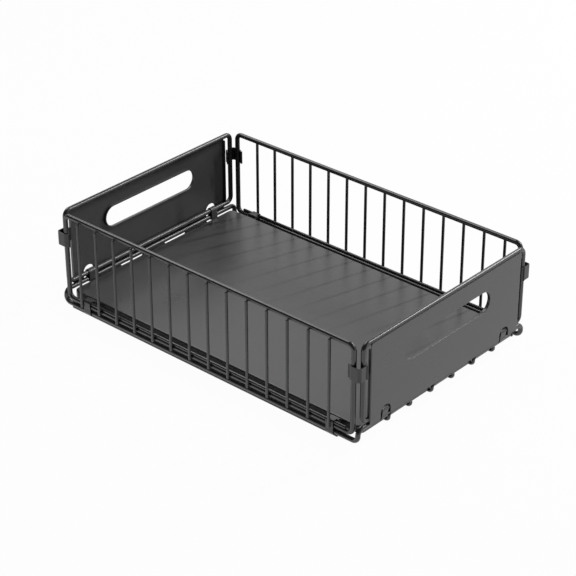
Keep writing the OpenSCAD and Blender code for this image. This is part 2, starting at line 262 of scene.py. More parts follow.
# ---------- finishes ----------
@dataclass(frozen=True)
class PowderCoat:
    """Satin dark grey powder coat: fine orange peel, a faint mottle and pinpoint speckles.

    Args:
        name: the material's name.
        colour: the coat's colour.
        roughness: its mean roughness.
        peel: size of the orange peel's dimples, in metres.
        peel_height: their height, in metres.
        ior: the coat's index of refraction; metal flakes raise it.
        mottle: how far the colour strays, as a share of itself.
        clouds: the mottle's cells a metre.
        speckles: speckles across one dimple.
    """

    name: str
    colour: Colour
    roughness: float
    peel: float = 0.9 * MM
    peel_height: float = 0.012 * MM
    ior: float = 1.72
    mottle: float = 0.1
    clouds: float = 28.0
    speckles: float = 4.2

    # Noise levels that the mottle spans
    MOTTLE_SPAN = (0.3, 0.7)
    # Noise levels between which a speckle fades in, its strength, and its colour's share and lift
    SPECKLE_FADE = (0.68, 0.78)
    SPECKLE_MIX = 0.35
    SPECKLE_TONE = (1.9, 0.01)
    # Share of the clouds in the mottle, whose rest are dimples, and of the dimples in the height, whose rest
    # are speckles
    CLOUD_SHARE = 0.7
    DIMPLE_SHARE = 0.8
    # How far the roughness strays with the clouds and with the dimples
    CLOUD_STRAY = 0.14
    DIMPLE_STRAY = 0.1
    # Strength of the bump, and its distance in dimple heights, as the noise spans a part of 0 to 1 only
    BUMP_STRENGTH = 0.35
    BUMP_REACH = 4

    def material(self) -> bpy.types.Material:
        """Makes the material.

        Returns:
            The material.
        """
        made = bpy.data.materials.new(self.name)
        shader = Shader(made)
        place = shader.place()
        cloud = shader.noise(place, self.clouds, 3.0)
        dimple = shader.noise(place, 1.0 / self.peel, 2.0, 0.55)
        fine = shader.noise(place, self.speckles / self.peel, 1.0)
        mottle = shader.clip(cloud * self.CLOUD_SHARE + dimple * (1 - self.CLOUD_SHARE), *self.MOTTLE_SPAN)
        low, high = toned(self.colour, 1 - self.mottle), toned(self.colour, 1 + self.mottle)
        speckle = shader.clip(fine, *self.SPECKLE_FADE) * self.SPECKLE_MIX
        pale = toned(self.colour, *self.SPECKLE_TONE)
        height = dimple * self.DIMPLE_SHARE + fine * (1 - self.DIMPLE_SHARE)
        stray = (cloud - 0.5) * self.CLOUD_STRAY + (dimple - 0.5) * self.DIMPLE_STRAY
        inputs = {
            "Base Color": shader.mix(speckle, shader.mix(mottle, low, high), pale),
            "Roughness": stray + self.roughness,
            "Normal": shader.bump(height, self.BUMP_STRENGTH, self.peel_height * self.BUMP_REACH),
            "IOR": self.ior,
        }
        shader.finish(shader.surface(inputs))
        return made


@dataclass(frozen=True)
class DrawnSteel:
    """Bare drawn steel of the hinge pins, with lines along the pin and a little dull grease.

    Args:
        name: the material's name.
        colour: the steel's colour.
        roughness: its mean roughness.
        line: spacing of the drawing lines, in metres.
        patches: the grease's cells a metre.
    """

    name: str
    colour: Colour
    roughness: float = 0.34
    line: float = 0.12 * MM
    patches: float = 240.0

    # Scale of the lines' noise along X, which draws them out along the pin
    STRETCH = 0.03
    # Noise levels between which the grease fades in, and the share of the colour that it leaves
    GREASE_FADE = (0.42, 0.62)
    GREASE_TONE = 0.55
    # How far the dulled colour and the roughness follow the grease and the lines
    DULL_BY = (0.6, 0.3)
    ROUGH_BY = (0.14, 0.16)
    # Strength and height of the lines' bump
    LINE_BUMP = (0.3, 0.01 * MM)

    def material(self) -> bpy.types.Material:
        """Makes the material.

        Returns:
            The material.
        """
        made = bpy.data.materials.new(self.name)
        shader = Shader(made)
        place = shader.place()
        along = shader.node("ShaderNodeMapping", None, {"Vector": place, "Scale": (self.STRETCH, 1.0, 1.0)})
        lines = shader.noise(shader.out(along), 1.0 / self.line, 2.0, 0.6)
        grease = shader.clip(shader.noise(place, self.patches, 3.0), *self.GREASE_FADE)
        dulled = grease * self.DULL_BY[0] + lines * self.DULL_BY[1]
        stray = (grease - 0.5) * self.ROUGH_BY[0] + (lines - 0.5) * self.ROUGH_BY[1]
        inputs = {
            "Base Color": shader.mix(dulled, self.colour, toned(self.colour, self.GREASE_TONE)),
            "Metallic": 1.0,
            "Roughness": stray + self.roughness,
            "Normal": shader.bump(lines, *self.LINE_BUMP),
        }
        shader.finish(shader.surface(inputs))
        return made


@dataclass(frozen=True)
class PaleGround:
    """White studio ground that is seen almost pure white, with the shadow kept beneath the object.

    Args:
        name: the material's name.
        colour: the ground's colour.
        lift: share of what is seen that is plain white.
        dim: brightness of the ground behind the object in reflections.
        shade: share of the shadow that is kept beneath the object.
    """

    name: str
    colour: Colour
    lift: float = 0.97
    dim: float = 0.1
    shade: float = 0.95

    # Share of the darker of the ground's two tones, its cells a metre, and the ground's roughness
    DARKER = 0.985
    CELLS = 60.0
    ROUGHNESS = 0.75
    # Distances from the middle between which the kept shadow fades out
    SHADE_X = (0.158, 0.172)
    SHADE_Y = (0.113, 0.121)
    # Distances to the right and to the front between which the ground in reflections turns bright
    RIGHT_FADE = (0.1, 0.2)
    FRONT_FADE = (0.08, 0.12)

    def _near_middle(self, shader: Shader, value: Term, fade: Tuple[float, float]) -> Term:
        """Masks the ground along one axis.

        Args:
            shader: the ground's tree.
            value: the coordinate.
            fade: the distances from the middle where the mask starts to fall and where it is gone.

        Returns:
            1 in the middle and 0 far off.
        """
        return shader.clip(-(value * value), -fade[1] ** 2, -fade[0] ** 2)

    def material(self) -> bpy.types.Material:
        """Makes the material.

        Returns:
            The material.
        """
        made = bpy.data.materials.new(self.name)
        shader = Shader(made)
        place = shader.place()
        x, y, _ = shader.apart(place)
        camera, glossy = shader.rays()
        tone = shader.mix(shader.noise(place, self.CELLS, 3.0), toned(self.colour, self.DARKER), self.colour)
        matt = shader.surface({"Base Color": tone, "Roughness": self.ROUGHNESS})
        beside = shader.clip(x, *self.RIGHT_FADE) + shader.clip(-y, *self.FRONT_FADE)
        bright = shader.clip(beside, 0.0, 1.0) * (1.0 - self.dim) + self.dim
        level = shader.clip(camera + glossy * bright, 0.0, 1.0)
        white = shader.out(shader.node("ShaderNodeEmission", None, {"Strength": level}))
        beneath = self._near_middle(shader, x, self.SHADE_X) * self._near_middle(shader, y, self.SHADE_Y)
        factor = shader.clip(camera + glossy, 0.0, 1.0) * (1.0 - beneath * self.shade) * self.lift
        mixed = shader.node("ShaderNodeMixShader", None, {0: factor, 1: matt, 2: white})
        shader.finish(shader.out(mixed))
        return made


class Slot(Enum):
    """The record's material slots that the pieces are dressed in."""

    WIRE = "wire"
    SHEET = "sheet"
    STRAP = "strap"
    CLIP = "clip"
    PIN = "pin"


class Dresser:
    """Makes each finish once and puts it on pieces and CAD nodes."""

    FINISHES = {
        Slot.WIRE: PowderCoat("wire_coat", grey(0.022), roughness=0.21, peel_height=0.003 * MM, ior=1.66),
        Slot.SHEET: PowderCoat("sheet_coat", grey(0.033), roughness=0.31, peel=0.7 * MM, ior=1.68),
        Slot.STRAP: PowderCoat("strap_coat", grey(0.026), roughness=0.34, peel=0.8 * MM, ior=1.6),
        Slot.CLIP: PowderCoat("clip_coat", grey(0.03), roughness=0.3, ior=1.55),
        Slot.PIN: DrawnSteel("pin_steel", grey(0.32)),
    }

    def __init__(self) -> None:
        """Makes the materials."""
        self.materials = {slot: finish.material() for slot, finish in self.FINISHES.items()}

    def dress(self, piece: bpy.types.Object, slot: Slot) -> None:
        """Gives a new piece its finish.

        Args:
            piece: the piece.
            slot: the slot whose finish it takes.
        """
        piece.data.materials.clear()
        piece.data.materials.append(self.materials[slot])

    def dress_node(self, name: str, slot: Slot) -> None:
        """Gives a carried-over CAD node its finish.

        Args:
            name: the node's name.
            slot: the slot whose finish it takes.
        """
        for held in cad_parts[name].material_slots:
            held.material = self.materials[slot]


# ---------- mesh tools ----------
# Points nearer to each other than this are one
SAME_POINT = 0.01 * MM
# Rings that round off a wire's end: each one's step outward and its size, as shares of the wire's radius
DOME = ((0.35, 0.93), (0.3, 0.74), (0.15, 0.45))
# Faces across a sheet's fold, and across a rounded corner of its outline
FOLD_STEPS = 4
CORNER_STEPS = 8


def points_of(made: Iterable[object]) -> List[Point]:
    """Returns the points among the parts that an operator made."""
    return [part for part in made if isinstance(part, Point)]


def middle_of(points: Sequence[Point]) -> Vector:
    """Returns the middle of some points."""
    return sum((point.co for point in points), Vector()) / len(points)


def merge(mesh: Mesh, distance: float = SAME_POINT) -> None:
    """Merges the points that are nearer to each other than a distance."""
    bmesh.ops.remove_doubles(mesh, verts=mesh.verts[:], dist=distance)


def fold_over(mesh: Mesh, edges: Sequence[Edge], lip: Vector, radius: float) -> None:
    """Folds a sheet over at some edges of its rim.

    Args:
        mesh: the sheet.
        edges: the edges.
        lip: width and direction of the lip that is folded over.
        radius: the fold's radius.
    """
    made = bmesh.ops.extrude_edge_only(mesh, edges=edges)["geom"]
    bmesh.ops.translate(mesh, verts=points_of(made), vec=lip)
    bmesh.ops.bevel(
        mesh, geom=edges, offset=radius, segments=FOLD_STEPS, profile=0.5, affect="EDGES", material=-1
    )


def level_ray(degrees: float) -> Vector:
    """Returns the level direction at an angle from +X."""
    return Vector((math.cos(math.radians(degrees)), math.sin(math.radians(degrees)), 0))


class Pen:
    """Pushes a vertex or a ring of edges along straights and round bends, and so draws a line or a wire."""

    def __init__(self, start: Vector, heading: Vector, radius: float = 0.0, sides: int = 20) -> None:
        """Places the pen.

        Args:
            start: where the line starts.
            heading: its first direction.
            radius: the wire's radius, or 0 to draw a bare line.
            sides: faces round the wire.
        """
        self.mesh = bmesh.new()
        self.at = Vector(start)
        self.heading = Vector(heading).normalized()
        self.radius = radius
        if radius:
            turn = Z_AXIS.rotation_difference(self.heading).to_matrix().to_4x4()
            place = Matrix.Translation(self.at) @ turn
            made = bmesh.ops.create_circle(self.mesh, segments=sides, radius=radius, matrix=place)["verts"]
        else:
            made = bmesh.ops.create_vert(self.mesh, co=self.at)["vert"]
        self.tip = list(made)
        self.first = list(self.tip)

    def _edges(self, points: Sequence[Point]) -> List[Edge]:
        """Finds the edges that join some points to each other.

        Args:
            points: the points.

        Returns:
            The edges, in the same order each time.
        """
        held = set(points)
        found = dict.fromkeys(edge for point in points for edge in point.link_edges)
        return [edge for edge in found if set(edge.verts) <= held]

    def to(self, point: Vector) -> "Pen":
        """Goes straight to a point.

        Args:
            point: where to.

        Returns:
            The pen.
        """
        step = Vector(point) - self.at
        if self.radius:
            made = bmesh.ops.extrude_edge_only(self.mesh, edges=self._edges(self.tip))["geom"]
        else:
            made = bmesh.ops.extrude_vert_indiv(self.mesh, verts=self.tip)["verts"]
        self.tip = points_of(made)
        bmesh.ops.translate(self.mesh, verts=self.tip, vec=step)
        self.at = Vector(point)
        self.heading = step.normalized()
        return self

    def ahead(self, length: float) -> "Pen":
        """Goes straight on for a length and returns the pen."""
        return self.to(self.at + self.heading * length)

    def swing(self, centre: Vector, axis: Vector, degrees: float, steps: int = 8) -> "Pen":
        """Goes round a centre.

        Args:
            centre: a point on the bend's axis.
            axis: the axis, about which a positive angle turns by the right-hand rule.
            degrees: how far.
            steps: faces along the bend.

        Returns:
            The pen.
        """
        angle = math.radians(degrees)
        made = bmesh.ops.spin(
            self.mesh,
            geom=self.tip + self._edges(self.tip),
            cent=centre,
            axis=axis,
            angle=angle,
            steps=steps,
            use_duplicate=False,
        )
        self.tip = points_of(made["geom_last"])
        turn = Matrix.Rotation(angle, 3, axis)
        self.at = centre + turn @ (self.at - centre)
        self.heading = turn @ self.heading
        return self

    def bend_to(self, heading: Vector, radius: float, steps: int = 8) -> "Pen":
        """Bends until the pen heads another way.

        Args:
            heading: the new direction.
            radius: the bend's radius.
            steps: faces along the bend.

        Returns:
            The pen.
        """
        axis = self.heading.cross(heading).normalized()
        centre = self.at + axis.cross(self.heading) * radius
        return self.swing(centre, axis, math.degrees(self.heading.angle(heading)), steps)

    def close(self) -> Mesh:
        """Joins the end to the start and returns the mesh."""
        merge(self.mesh)
        return self._settled()

    def _dome(self, ring: List[Point], outward: Vector) -> None:
        """Rounds off one end of a wire.

        Args:
            ring: the end's ring of points.
            outward: the direction off the end.
        """
        for step, size in DOME:
            ring = points_of(bmesh.ops.extrude_edge_only(self.mesh, edges=self._edges(ring))["geom"])
            bmesh.ops.translate(self.mesh, verts=ring, vec=outward * step * self.radius)
            middle = middle_of(ring)
            share = size * self.radius / (ring[0].co - middle).length
            bmesh.ops.scale(self.mesh, verts=ring, vec=(share,) * 3, space=Matrix.Translation(-middle))
        bmesh.ops.contextual_create(self.mesh, geom=self._edges(ring))

    def end(self) -> Mesh:
        """Rounds off both ends of a wire.

        Returns:
            The mesh.
        """
        held = set(self.first)
        beyond = [edge.other_vert(point) for point in self.first for edge in point.link_edges]
        second = [point for point in beyond if point not in held]
        opening = (middle_of(self.first) - middle_of(second)).normalized()
        self._dome(self.tip, self.heading)
        self._dome(self.first, opening)
        return self._settled()

    def _settled(self) -> Mesh:
        """Turns every face outwards and returns the mesh."""
        bmesh.ops.recalc_face_normals(self.mesh, faces=self.mesh.faces[:])
        return self.mesh

    def pull(self, along: Vector) -> Mesh:
        """Pulls a bare line out to a sheet.

        Args:
            along: the sheet's width and direction.

        Returns:
            The mesh.
        """
        merge(self.mesh, SAME_POINT / 2)
        made = bmesh.ops.extrude_edge_only(self.mesh, edges=self.mesh.edges[:])["geom"]
        bmesh.ops.translate(self.mesh, verts=points_of(made), vec=along)
        return self._settled()


def to_data(name: str, mesh: Mesh) -> bpy.types.Mesh:
    """Makes mesh data.

    Args:
        name: the data's name.
        mesh: its shape, which is freed.

    Returns:
        The data.
    """
    data = bpy.data.meshes.new(name)
    mesh.to_mesh(data)
    mesh.free()
    return data


def stand(name: str, data: bpy.types.ID) -> bpy.types.Object:
    """Adds an object to the scene.

    Args:
        name: its name.
        data: its mesh, lamp or camera.

    Returns:
        The object.
    """
    made = bpy.data.objects.new(name, data)
    bpy.context.scene.collection.objects.link(made)
    return made


def join(target: Mesh, extra: Mesh) -> Mesh:
    """Adds one mesh to another.

    Args:
        target: the mesh that grows.
        extra: the mesh that is added and freed.

    Returns:
        The grown mesh.
    """
    held = to_data("held", extra)
    target.from_mesh(held)
    bpy.data.meshes.remove(held)
    return target


def half_turn(mesh: Mesh, wanted: bool) -> Mesh:
    """Turns a front or right piece into its back or left twin, where wanted.

    Args:
        mesh: the piece's mesh.
        wanted: False leaves the mesh as it is.

    Returns:
        The mesh.
    """
    if wanted:
        bmesh.ops.rotate(mesh, verts=mesh.verts[:], cent=Vector(), matrix=Matrix.Rotation(math.pi, 3, Z_AXIS))
    return mesh


def mirrored(mesh: Mesh, axis: Vector, wanted: bool) -> Mesh:
    """Mirrors a mesh through the frame's middle, where wanted.

    Args:
        mesh: the mesh.
        axis: the axis whose sign changes.
        wanted: False leaves the mesh as it is.

    Returns:
        The mesh, its faces turned the right way again.
    """
    if wanted:
        bmesh.ops.scale(mesh, verts=mesh.verts[:], vec=Vector((1, 1, 1)) - 2 * axis)
        bmesh.ops.reverse_faces(mesh, faces=mesh.faces[:])
    return mesh


def bead(mesh: Mesh, at: Vector, size: Vector) -> None:
    """Adds a small flattened weld bead.

    Args:
        mesh: the mesh it is added to.
        at: its middle.
        size: its half sizes.
    """
    place = Matrix.Translation(at) @ Matrix.Diagonal((*size, 1.0))
    bmesh.ops.create_icosphere(mesh, subdivisions=2, radius=1.0, matrix=place)


class Workshop:
    """Turns finished meshes into pieces that ride on CAD bodies."""

    # Degrees past which an edge gets its rounding, and past which shading keeps it sharp
    ROUNDED_FROM = 48
    SHARP_FROM = 38

    def __init__(self, dresser: Dresser) -> None:
        """Keeps the dresser.

        Args:
            dresser: what the pieces are dressed by.
        """
        self.dresser = dresser
        self.count = 0

    @staticmethod
    def _settle(made: bpy.types.Object) -> None:
        """Bakes an object's modifiers into its mesh.

        Args:
            made: the object.
        """
        if not made.modifiers:
            return
        graph = bpy.context.evaluated_depsgraph_get()
        final = bpy.data.meshes.new_from_object(made.evaluated_get(graph))
        old = made.data
        made.modifiers.clear()
        made.data = final
        bpy.data.meshes.remove(old)
        final.name = made.name

    def piece(
        self,
        name: str,
        mesh: Mesh,
        body: str,
        slot: Slot,
        nodes: Sequence[str] = (),
        thickness: float = 0.0,
        inward: bool = False,
        bevel: float = 0.0,
    ) -> None:
        """Makes one piece.

        Args:
            name: its name.
            mesh: its mesh, which is freed.
            body: the CAD body it rides on.
            slot: the finish it takes.
            nodes: the CAD nodes it stands for.
            thickness: wall thickness given to an open sheet.
            inward: whether the wall grows against the normals, and not to both sides.
            bevel: width of the rounding on sharp edges.
        """
        made = stand(name, to_data(name, mesh))
        if thickness:
            wall = made.modifiers.new("wall", "SOLIDIFY")
            wall.thickness = thickness
            wall.offset = -1.0 if inward else 0.0
            wall.use_even_offset = True
        if bevel:
            rounding = made.modifiers.new("rounding", "BEVEL")
            rounding.width = bevel
            rounding.segments = 2
            rounding.limit_method = "ANGLE"
            rounding.angle_limit = math.radians(self.ROUNDED_FROM)
        self._settle(made)
        made.data.shade_smooth()
        made.data.set_sharp_from_angle(angle=math.radians(self.SHARP_FROM))
        if thickness:
            flat = made.modifiers.new("flat_faces", "WEIGHTED_NORMAL")
            flat.keep_sharp = True
            self._settle(made)
        self.dresser.dress(made, slot)
        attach(made, body)
        if nodes:
            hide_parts(*nodes)
        self.count += 1
        log.info("%s: %d faces on %s", name, len(made.data.polygons), body)


# ---------- the basket's sizes ----------
@dataclass(frozen=True)
class Layout:
    """Sizes and places that several sub-assemblies share.

    Args:
        end_x: plane of the end loops.
        grille_y: plane of the grilles.
        top_z: height of the top rails.
        rail_r: radius of the wall loops' wire.
        thin_r: radius of the uprights, cross wires, runners and floor loops.
        base_r: radius of the base frame's wire.
        base_x: plane of the raised base wires.
        base_y: plane of the long base wires.
        base_low_z: height of the long base wires.
        base_high_z: height of the raised base wires.
        support_z: height of the floor loop wires.
        floor_top_z: top of the floor plate.
        leg_x: middle of the grille legs.
        leg_y: middle of the end legs.
        grille_rail_z: height of the grilles' bottom rails.
        end_rail_z: height of the end loops' bottom rails.
        loop_bend: bend radius of the wall loops.
        sheet: thickness of the plates.
    """

    end_x: float = 192.2 * MM
    grille_y: float = 124.5 * MM
    top_z: float = 104.85 * MM
    rail_r: float = 2.5 * MM
    thin_r: float = 1.5 * MM
    base_r: float = 2.5 * MM
    base_x: float = 191.7 * MM
    base_y: float = 124.3 * MM
    base_low_z: float = 5.3 * MM
    base_high_z: float = 18.0 * MM
    support_z: float = 6.95 * MM
    floor_top_z: float = 16.3 * MM
    leg_x: float = 185.8 * MM
    leg_y: float = 119.2 * MM
    grille_rail_z: float = 12.05 * MM
    end_rail_z: float = 24.8 * MM
    loop_bend: float = 6.2 * MM
    sheet: float = 1.0 * MM


LAYOUT = Layout()


def wall_loop(middle: Vector, along: Vector, half: float) -> Mesh:
    """Draws the closed wire of one wall.

    Args:
        middle: middle of its bottom rail.
        along: direction of its rails.
        half: distance of its legs from its middle.

    Returns:
        The mesh.
    """
    bend, steps, sides = LAYOUT.loop_bend, 12, 24
    top = Vector((middle.x, middle.y, LAYOUT.top_z))
    pen = Pen(middle, along, LAYOUT.rail_r, sides)
    pen.to(middle + along * (half - bend)).bend_to(Z_AXIS, bend, steps)
    pen.to(top + along * half - Z_AXIS * bend).bend_to(-along, bend, steps)
    pen.to(top - along * (half - bend)).bend_to(-Z_AXIS, bend, steps)
    pen.to(middle - along * half + Z_AXIS * bend).bend_to(along, bend, steps)
    return pen.to(middle).close()


# ---------- base ----------
@dataclass
class Base:
    """Base frame, floor loops and runner wires.

    Args:
        shop: where pieces are made.
        bend: bend radius of the base frame.
        runner_in: how far the runners stand inside the long base wires.
        runner_left: distance of a runner's left end from the end loop plane.
        runner_right: distance of its right end.
        loop_pitch: spacing of the floor loop wires.
        loop_bend: bend radius where a floor loop turns up.
        link_bend: bend radius where it turns along the end wire.
        link_z: height of the floor loops' links.
        runner_welds: weld beads on each runner.
        weld_pitch: spacing of those beads.
        weld_shift: how far the middle one stands from the frame's middle, as the runner's middle does.
        weld_y: distance of the beads from the frame's middle.
        weld_z: their height.
        link_weld: distance of a link's bead from the loop's long wire, in bend radii.
    """

    shop: Workshop
    bend: float = 6.0 * MM
    runner_in: float = 0.6 * MM
    runner_left: float = 10.2 * MM
    runner_right: float = 25.5 * MM
    loop_pitch: float = 32.0 * MM
    loop_bend: float = 4.0 * MM
    link_bend: float = 3.6 * MM
    link_z: float = 14.85 * MM
    runner_welds: int = 7
    weld_pitch: float = 52.0 * MM
    weld_shift: float = 7.6 * MM
    weld_y: float = 124.0 * MM
    weld_z: float = 2.98 * MM
    link_weld: float = 1.4

    # Middle of each floor loop, in loop pitches from the frame's middle
    ROWS = {"front": -2.0, "middle": 0.0, "back": 2.0}
    # Half sizes of the weld beads
    RUNNER_BEAD = Vector((2.6, 1.0, 0.5)) * MM
    LINK_BEAD = Vector((1.0, 2.4, 0.5)) * MM

    def stepped_loop(
        self, radius: float, low: float, high: float, near: float, far: float, first: float, second: float
    ) -> Mesh:
        """Draws a closed wire whose two ends are stepped up.

        Args:
            radius: the wire's radius.
            low: height of the long wires.
            high: height of the end wires.
            near: Y of the front long wire.
            far: Y of the back long wire.
            first: radius of the bends out of the long wires.
            second: radius of the bends into the end wires.

        Returns:
            The mesh.
        """
        pen = Pen(Vector((0, near, low)), X_AXIS, radius)
        for side, start, stop, along in ((1, near, far, Y_AXIS), (-1, far, near, -Y_AXIS)):
            run = side * LAYOUT.base_x
            pen.to(Vector((run - side * first, start, low))).bend_to(Z_AXIS, first)
            pen.to(Vector((run, start, high - second))).bend_to(along, second)
            pen.to(Vector((run, stop, high)) - along * second).bend_to(-Z_AXIS, second)
            pen.to(Vector((run, stop, low + first))).bend_to(-side * X_AXIS, first)
        pen.to(Vector((0, near, low)))
        return pen.close()

    def runner(self) -> Mesh:
        """Draws the front runner wire.

        Returns:
            The mesh.
        """
        y, z = -LAYOUT.base_y + self.runner_in, LAYOUT.thin_r
        pen = Pen(Vector((-LAYOUT.end_x + self.runner_left, y, z)), X_AXIS, LAYOUT.thin_r)
        return pen.to(Vector((LAYOUT.end_x - self.runner_right, y, z))).end()

    def welds(self) -> Mesh:
        """Makes the weld beads between the base frame, the runners and the floor loops.

        Returns:
            One mesh of all beads.
        """
        mesh = bmesh.new()
        for side in (-1, 1):
            for index in range(self.runner_welds):
                x = (index - self.runner_welds // 2) * self.weld_pitch + side * self.weld_shift
                bead(mesh, Vector((x, side * self.weld_y, self.weld_z)), self.RUNNER_BEAD)
            for row in self.ROWS.values():
                for edge in (-1, 1):
                    y = (row + edge * 0.5) * self.loop_pitch - edge * self.link_bend * self.link_weld
                    top = self.link_z + LAYOUT.thin_r
                    bead(mesh, Vector((side * LAYOUT.base_x, y, top)), self.LINK_BEAD)
        return mesh

    def build(self) -> None:
        """Makes the base's pieces."""
        low, high, y = LAYOUT.base_low_z, LAYOUT.base_high_z, LAYOUT.base_y
        wire = self.stepped_loop(LAYOUT.base_r, low, high, -y, y, self.bend, self.bend)
        self.shop.piece("base_frame_wire", wire, "base", Slot.WIRE, ["base_frame"])
        for name, row in self.ROWS.items():
            near, far = (row - 0.5) * self.loop_pitch, (row + 0.5) * self.loop_pitch
            low, high = LAYOUT.support_z, self.link_z
            wire = self.stepped_loop(LAYOUT.thin_r, low, high, near, far, self.loop_bend, self.link_bend)
            self.shop.piece(f"floor_wire_{name}", wire, "base", Slot.WIRE, [f"floor_loop_{name}"])
        for name, back in (("front", False), ("back", True)):
            wire = half_turn(self.runner(), back)
            self.shop.piece(f"{name}_runner_wire", wire, "base", Slot.WIRE, [f"runner_{name}"])
        self.shop.piece("base_weld_beads", self.welds(), "base", Slot.WIRE)


# ---------- floor ----------
@dataclass
class FloorPlate:
    """Sheet floor with bent-down lips and rounded corners.

    Args:
        shop: where pieces are made.
        half_x: half its length.
        half_y: half its width.
        corner: corner radius in plan.
        lip: height of the lips.
        fold: radius of the fold.
        edge: rounding of its cut edges.
    """

    shop: Workshop
    half_x: float = 188.9 * MM
    half_y: float = 116.9 * MM
    corner: float = 6.0 * MM
    lip: float = 7.85 * MM
    fold: float = 1.6 * MM
    edge: float = 0.2 * MM

    def build(self) -> None:
        """Makes the plate."""
        mesh = bmesh.new()
        bmesh.ops.create_grid(mesh, x_segments=1, y_segments=1, size=1.0)
        bmesh.ops.scale(mesh, verts=mesh.verts[:], vec=(self.half_x, self.half_y, 1.0))
        bmesh.ops.translate(mesh, verts=mesh.verts[:], vec=(0, 0, LAYOUT.floor_top_z))
        bmesh.ops.bevel(
            mesh,
            geom=mesh.verts[:],
            offset=self.corner,
            segments=CORNER_STEPS,
            profile=0.5,
            affect="VERTICES",
            material=-1,
        )
        rim = [edge for edge in mesh.edges if edge.is_boundary]
        fold_over(mesh, rim, -Z_AXIS * self.lip, self.fold)
        bmesh.ops.recalc_face_normals(mesh, faces=mesh.faces[:])
        if max(mesh.faces, key=lambda face: face.calc_area()).normal.z < 0:
            bmesh.ops.reverse_faces(mesh, faces=mesh.faces[:])
        nodes = ["floor_plate"]
        self.shop.piece(
            "floor_sheet", mesh, "base", Slot.SHEET, nodes, LAYOUT.sheet, inward=True, bevel=self.edge
        )


